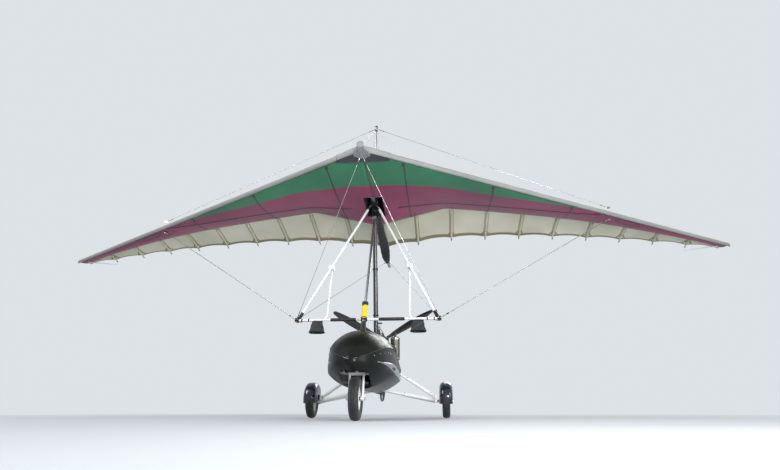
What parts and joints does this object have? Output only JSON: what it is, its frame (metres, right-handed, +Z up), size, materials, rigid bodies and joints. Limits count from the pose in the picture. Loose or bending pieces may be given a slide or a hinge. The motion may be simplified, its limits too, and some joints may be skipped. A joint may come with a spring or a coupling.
{
  "type": "weight-shift microlight aircraft",
  "caption": "Weight-shift microlight aircraft: a tandem-seat trike with pod, pusher propeller and wheel spats, hung below a striped delta wing by its control frame",
  "frame": {"origin": "on the floor under the centre of the whole aircraft's bounding box, parked level on its wheels", "axes": "+Z up, nose and direction of flight towards -Y, +X towards the aircraft's left wing tip"},
  "size_m": [10, 3.6, 3.7734],
  "materials": {
    "frame_tube": "anodised",
    "mast_tube": "anodised black",
    "steel_fittings": "plated",
    "sleeve_yellow": "moulded",
    "rubber_black": "moulded",
    "pod_shell": "gloss gel coat",
    "panel_black": "satin",
    "seat_cloth": "woven",
    "tank_plastic": "blow moulded",
    "engine_cast": "cast",
    "engine_fins": "cast",
    "exhaust_steel": "heat stained",
    "gear_white": "gloss",
    "spat_navy": "gloss gel coat",
    "tyre": "moulded",
    "rim_white": "moulded",
    "blade_black": "satin",
    "hang_black": "anodised black",
    "keel_tube": "anodised",
    "nose_grey": "satin",
    "pocket_cloth": "woven",
    "bar_white": "powder coat",
    "muff_cloth": "woven",
    "wire_steel": "stranded",
    "batten_tube": "anodised",
    "sail_white": "woven sailcloth",
    "sail_magenta": "woven sailcloth"
  },
  "bodies": {
    "trike": {"base_tube": "frame_tube", "mast": "mast_tube", "mast_head": "steel_fittings", "front_strut": "mast_tube", "strut_sleeve": "sleeve_yellow", "strut_neck": "rubber_black", "pod_lower": "pod_shell", "pod_nose_cowl": "pod_shell", "instrument_panel": "panel_black", "front_seat": "seat_cloth", "rear_seat": "seat_cloth", "seat_frame": "frame_tube", "fuel_tank": "tank_plastic", "engine_mount": "frame_tube", "engine_block": "engine_cast", "engine_cylinders": "engine_fins", "gearbox": "engine_cast", "carburettors": "engine_fins", "exhaust": "exhaust_steel", "gear_leg_left": "gear_white", "gear_leg_right": "gear_white", "spat_left": "spat_navy", "spat_right": "spat_navy"},
    "nose_fork": {"nose_fork": "gear_white"},
    "nose_wheel": {"nose_tyre": "tyre", "nose_rim": "rim_white"},
    "rear_wheel_left": {"rear_tyre_left": "tyre", "rear_rim_left": "rim_white"},
    "rear_wheel_right": {"rear_tyre_right": "tyre", "rear_rim_right": "rim_white"},
    "propeller": {"propeller": "blade_black"},
    "hang_link": {"hang_link": "hang_black"},
    "wing": {"wing_keel": "keel_tube", "nose_plate": "nose_grey", "keel_pocket": "pocket_cloth", "apex_bracket": "hang_black", "base_bar": "bar_white", "corner_brackets": "hang_black", "training_bars": "bar_white", "hand_muffs": "muff_cloth", "kingpost": "mast_tube", "wire_tangs": "steel_fittings", "flying_wires": "wire_steel", "landing_wires": "wire_steel", "battens": "batten_tube", "tip_rods": "batten_tube", "sail_upper_left": "sail_white", "sail_upper_right": "sail_white", "sail_lower_left": "sail_magenta", "sail_lower_right": "sail_magenta", "leading_edge_left": "keel_tube", "leading_edge_right": "keel_tube", "downtube_left": "bar_white", "downtube_right": "bar_white"}
  },
  "joints": [
    {"name": "nose_steering", "type": "hinge", "parent": "trike", "child": "nose_fork", "pos_m": [0, -1.40601, 0.475], "axis": [0, 0.2419, 0.9703], "range_deg": [-20, 20]},
    {"name": "nose_wheel_spin", "type": "hinge", "parent": "nose_fork", "child": "nose_wheel", "pos_m": [0, -1.47001, 0.197], "axis": [1, 0, 0], "continuous": true},
    {"name": "rear_wheel_left_spin", "type": "hinge", "parent": "trike", "child": "rear_wheel_left", "pos_m": [0.84, 0.35999, 0.197], "axis": [1, 0, 0], "continuous": true},
    {"name": "rear_wheel_right_spin", "type": "hinge", "parent": "trike", "child": "rear_wheel_right", "pos_m": [-0.84, 0.35999, 0.197], "axis": [1, 0, 0], "continuous": true},
    {"name": "propeller_spin", "type": "hinge", "parent": "trike", "child": "propeller", "pos_m": [0, 0.80999, 1], "axis": [0, 1, 0], "continuous": true},
    {"name": "hang_pitch", "type": "hinge", "parent": "trike", "child": "hang_link", "pos_m": [0, -0.14001, 2.45], "axis": [1, 0, 0], "range_deg": [-6, 12]},
    {"name": "hang_roll", "type": "hinge", "parent": "hang_link", "child": "wing", "pos_m": [0, -0.14001, 2.6], "axis": [0, 0.9877, -0.1564], "range_deg": [-20, 20]}
  ]
}
